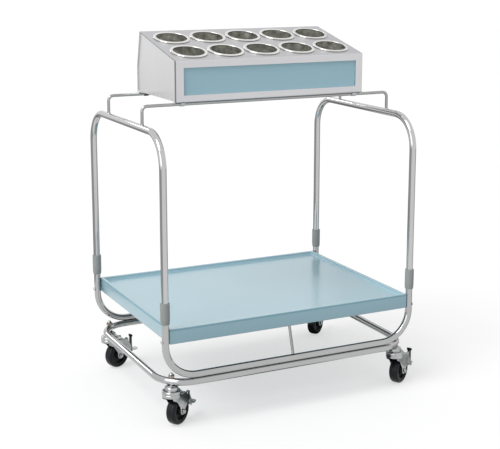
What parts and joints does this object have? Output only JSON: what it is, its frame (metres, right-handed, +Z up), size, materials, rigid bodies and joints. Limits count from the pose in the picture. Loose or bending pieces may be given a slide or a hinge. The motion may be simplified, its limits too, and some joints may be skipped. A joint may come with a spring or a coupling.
{
  "type": "flatware and tray cart",
  "caption": "Chromed tube serving cart on swivel casters with brakes, a blue sunk tray shelf and a sloped steel console that holds lift-out flatware cylinders.",
  "frame": {"origin": "on the floor, under the middle of the tube frame", "axes": "+X to the right seen from the front, +Y to the rear, +Z up"},
  "size_m": [0.9551, 0.6866, 1.1708],
  "materials": {
    "chrome_tube": "bright chrome plate on steel tube and rod",
    "zinc_plate": "zinc plated pressed steel",
    "collar_plastic": "satin grey moulded plastic",
    "shelf_enamel": "light blue grey baked enamel",
    "panel_enamel": "light blue satin enamel",
    "satin_steel": "satin stainless sheet",
    "cup_steel": "drawn stainless steel, polished rim",
    "dark_clip": "dark painted strap",
    "wheel_plastic": "black moulded wheel centre",
    "wheel_rubber": "black rubber tread",
    "tip_plastic": "black moulded tip"
  },
  "bodies": {
    "frame": {"base_ring": "chrome_tube", "front_lower_u": "chrome_tube", "rear_lower_u": "chrome_tube", "left_handle_hoop": "chrome_tube", "right_handle_hoop": "chrome_tube", "tube_joiners": "zinc_plate", "front_left_collar": "collar_plastic", "front_right_collar": "collar_plastic", "rear_left_collar": "collar_plastic", "rear_right_collar": "collar_plastic", "shelf_pan": "shelf_enamel", "shelf_bolts": "chrome_tube", "shelf_support_rod": "chrome_tube", "front_console_rod": "chrome_tube", "rear_console_rod": "chrome_tube", "front_console_clips": "zinc_plate", "rear_console_clips": "dark_clip", "console_shell": "satin_steel", "console_left_end": "satin_steel", "console_right_end": "satin_steel", "console_front_panel": "panel_enamel", "front_left_caster_stem": "zinc_plate", "front_right_caster_stem": "zinc_plate", "rear_left_caster_stem": "zinc_plate", "rear_right_caster_stem": "zinc_plate", "stem_nuts": "zinc_plate"},
    "front_left_swivel": {"front_left_fork": "zinc_plate", "front_left_axle": "zinc_plate"},
    "front_left_wheel": {"front_left_wheel_hub": "wheel_plastic", "front_left_tyre": "wheel_rubber"},
    "front_left_brake": {"front_left_brake_lever": "zinc_plate"},
    "front_right_swivel": {"front_right_fork": "zinc_plate", "front_right_axle": "zinc_plate"},
    "front_right_wheel": {"front_right_wheel_hub": "wheel_plastic", "front_right_tyre": "wheel_rubber"},
    "front_right_brake": {"front_right_brake_lever": "zinc_plate", "front_right_lock_tip": "tip_plastic"},
    "rear_left_swivel": {"rear_left_fork": "zinc_plate", "rear_left_axle": "zinc_plate"},
    "rear_left_wheel": {"rear_left_wheel_hub": "wheel_plastic", "rear_left_tyre": "wheel_rubber"},
    "rear_left_brake": {"rear_left_brake_lever": "zinc_plate", "rear_left_lock_tip": "tip_plastic"},
    "rear_right_swivel": {"rear_right_fork": "zinc_plate", "rear_right_axle": "zinc_plate"},
    "rear_right_wheel": {"rear_right_wheel_hub": "wheel_plastic", "rear_right_tyre": "wheel_rubber"},
    "rear_right_brake": {"rear_right_brake_lever": "zinc_plate"},
    "flatware_cylinder_front_1_lift": {"flatware_cylinder_front_1": "cup_steel"},
    "flatware_cylinder_front_2_lift": {"flatware_cylinder_front_2": "cup_steel"},
    "flatware_cylinder_front_3_lift": {"flatware_cylinder_front_3": "cup_steel"},
    "flatware_cylinder_front_4_lift": {"flatware_cylinder_front_4": "cup_steel"},
    "flatware_cylinder_front_5_lift": {"flatware_cylinder_front_5": "cup_steel"},
    "flatware_cylinder_rear_1_lift": {"flatware_cylinder_rear_1": "cup_steel"},
    "flatware_cylinder_rear_2_lift": {"flatware_cylinder_rear_2": "cup_steel"},
    "flatware_cylinder_rear_3_lift": {"flatware_cylinder_rear_3": "cup_steel"},
    "flatware_cylinder_rear_4_lift": {"flatware_cylinder_rear_4": "cup_steel"},
    "flatware_cylinder_rear_5_lift": {"flatware_cylinder_rear_5": "cup_steel"}
  },
  "joints": [
    {"name": "front_left_swivel_turn", "type": "hinge", "parent": "frame", "child": "front_left_swivel", "pos_m": [-0.40071, -0.28171, 0.135], "axis": [0, 0, 1], "continuous": true},
    {"name": "front_left_wheel_roll", "type": "hinge", "parent": "front_left_swivel", "child": "front_left_wheel", "pos_m": [-0.37555, -0.26537, 0.044], "axis": [-0.5446, 0.8387, 0], "continuous": true},
    {"name": "front_left_brake_press", "type": "hinge", "parent": "front_left_swivel", "child": "front_left_brake", "pos_m": [-0.35374, -0.25121, 0.096], "axis": [-0.5446, 0.8387, 0], "range_deg": [0, 7]},
    {"name": "front_right_swivel_turn", "type": "hinge", "parent": "frame", "child": "front_right_swivel", "pos_m": [0.40071, -0.28171, 0.135], "axis": [0, 0, 1], "continuous": true},
    {"name": "front_right_wheel_roll", "type": "hinge", "parent": "front_right_swivel", "child": "front_right_wheel", "pos_m": [0.42669, -0.26671, 0.044], "axis": [-0.5, 0.866, 0], "continuous": true},
    {"name": "front_right_brake_press", "type": "hinge", "parent": "front_right_swivel", "child": "front_right_brake", "pos_m": [0.44921, -0.25371, 0.096], "axis": [-0.5, 0.866, 0], "range_deg": [0, 7]},
    {"name": "rear_left_swivel_turn", "type": "hinge", "parent": "frame", "child": "rear_left_swivel", "pos_m": [-0.40071, 0.28171, 0.135], "axis": [0, 0, 1], "continuous": true},
    {"name": "rear_left_wheel_roll", "type": "hinge", "parent": "rear_left_swivel", "child": "rear_left_wheel", "pos_m": [-0.3727, 0.29246, 0.044], "axis": [-0.3584, 0.9336, 0], "continuous": true},
    {"name": "rear_left_brake_press", "type": "hinge", "parent": "rear_left_swivel", "child": "rear_left_brake", "pos_m": [-0.34843, 0.30178, 0.096], "axis": [-0.3584, 0.9336, 0], "range_deg": [0, 7]},
    {"name": "rear_right_swivel_turn", "type": "hinge", "parent": "frame", "child": "rear_right_swivel", "pos_m": [0.40071, 0.28171, 0.135], "axis": [0, 0, 1], "continuous": true},
    {"name": "rear_right_wheel_roll", "type": "hinge", "parent": "rear_right_swivel", "child": "rear_right_wheel", "pos_m": [0.42498, 0.29934, 0.044], "axis": [-0.5878, 0.809, 0], "continuous": true},
    {"name": "rear_right_brake_press", "type": "hinge", "parent": "rear_right_swivel", "child": "rear_right_brake", "pos_m": [0.44602, 0.31463, 0.096], "axis": [-0.5878, 0.809, 0], "range_deg": [0, 7]},
    {"name": "flatware_cylinder_front_1_lift_out", "type": "slide", "parent": "frame", "child": "flatware_cylinder_front_1_lift", "axis": [0, -0.2317, 0.9728], "range_m": [0, 0.15]},
    {"name": "flatware_cylinder_front_2_lift_out", "type": "slide", "parent": "frame", "child": "flatware_cylinder_front_2_lift", "axis": [0, -0.2317, 0.9728], "range_m": [0, 0.15]},
    {"name": "flatware_cylinder_front_3_lift_out", "type": "slide", "parent": "frame", "child": "flatware_cylinder_front_3_lift", "axis": [0, -0.2317, 0.9728], "range_m": [0, 0.15]},
    {"name": "flatware_cylinder_front_4_lift_out", "type": "slide", "parent": "frame", "child": "flatware_cylinder_front_4_lift", "axis": [0, -0.2317, 0.9728], "range_m": [0, 0.15]},
    {"name": "flatware_cylinder_front_5_lift_out", "type": "slide", "parent": "frame", "child": "flatware_cylinder_front_5_lift", "axis": [0, -0.2317, 0.9728], "range_m": [0, 0.15]},
    {"name": "flatware_cylinder_rear_1_lift_out", "type": "slide", "parent": "frame", "child": "flatware_cylinder_rear_1_lift", "axis": [0, -0.2317, 0.9728], "range_m": [0, 0.15]},
    {"name": "flatware_cylinder_rear_2_lift_out", "type": "slide", "parent": "frame", "child": "flatware_cylinder_rear_2_lift", "axis": [0, -0.2317, 0.9728], "range_m": [0, 0.15]},
    {"name": "flatware_cylinder_rear_3_lift_out", "type": "slide", "parent": "frame", "child": "flatware_cylinder_rear_3_lift", "axis": [0, -0.2317, 0.9728], "range_m": [0, 0.15]},
    {"name": "flatware_cylinder_rear_4_lift_out", "type": "slide", "parent": "frame", "child": "flatware_cylinder_rear_4_lift", "axis": [0, -0.2317, 0.9728], "range_m": [0, 0.15]},
    {"name": "flatware_cylinder_rear_5_lift_out", "type": "slide", "parent": "frame", "child": "flatware_cylinder_rear_5_lift", "axis": [0, -0.2317, 0.9728], "range_m": [0, 0.15]}
  ]
}
